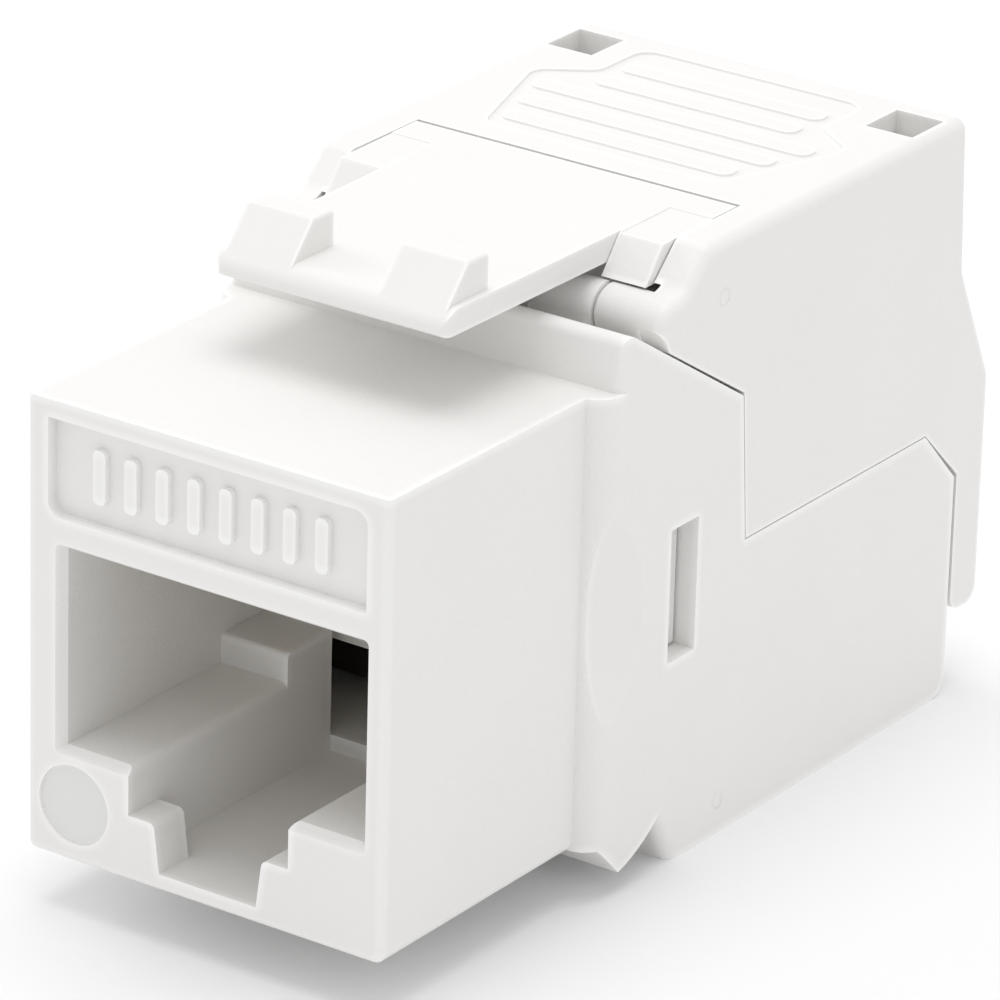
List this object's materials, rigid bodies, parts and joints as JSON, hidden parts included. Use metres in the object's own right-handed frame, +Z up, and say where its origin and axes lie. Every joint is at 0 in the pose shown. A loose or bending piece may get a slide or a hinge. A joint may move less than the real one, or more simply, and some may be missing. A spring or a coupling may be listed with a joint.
{
  "type": "keystone jack",
  "caption": "Toolless keystone jack: snap-in housing with a modular port, a sprung latch lever, and a hinged rear cap over insulation-displacement terminals.",
  "frame": {"origin": "on the surface it stands on, under the middle of its width and depth", "axes": "+X to the right seen from the port, +Y from the port back to the cable entry, +Z up"},
  "size_m": [0.016, 0.0348, 0.0232],
  "materials": {
    "white_housing": "satin moulded",
    "white_lever": "satin moulded",
    "white_cap": "satin moulded",
    "white_insert": "satin moulded",
    "board": "satin lacquer",
    "gold_contact": "plated",
    "tinned_blade": "tinned",
    "spring_steel": "bright"
  },
  "bodies": {
    "housing": {"front_housing": "white_housing", "contact_sled": "white_insert", "circuit_board": "board", "terminal_block": "white_insert", "latch_spring": "spring_steel", "contact_1": "gold_contact", "contact_2": "gold_contact", "contact_3": "gold_contact", "contact_4": "gold_contact", "contact_5": "gold_contact", "contact_6": "gold_contact", "contact_7": "gold_contact", "contact_8": "gold_contact", "blade_1": "tinned_blade", "blade_2": "tinned_blade", "blade_3": "tinned_blade", "blade_4": "tinned_blade", "blade_5": "tinned_blade", "blade_6": "tinned_blade", "blade_7": "tinned_blade", "blade_8": "tinned_blade"},
    "lever": {"latch_lever": "white_lever"},
    "cap": {"rear_cap": "white_cap", "wire_manager": "white_insert"}
  },
  "joints": [
    {"name": "lever_pivot", "type": "hinge", "parent": "housing", "child": "lever", "pos_m": [0, -0.0025, 0.01965], "axis": [1, 0, 0], "range_deg": [0, 9], "stiffness_Nm_per_rad": 0.01, "springref_deg": -11.46, "deforming": ["latch_spring"]},
    {"name": "cap_hinge", "type": "hinge", "parent": "housing", "child": "cap", "pos_m": [0, -0.0025, 0.01965], "axis": [1, 0, 0], "range_deg": [0, 90]}
  ]
}
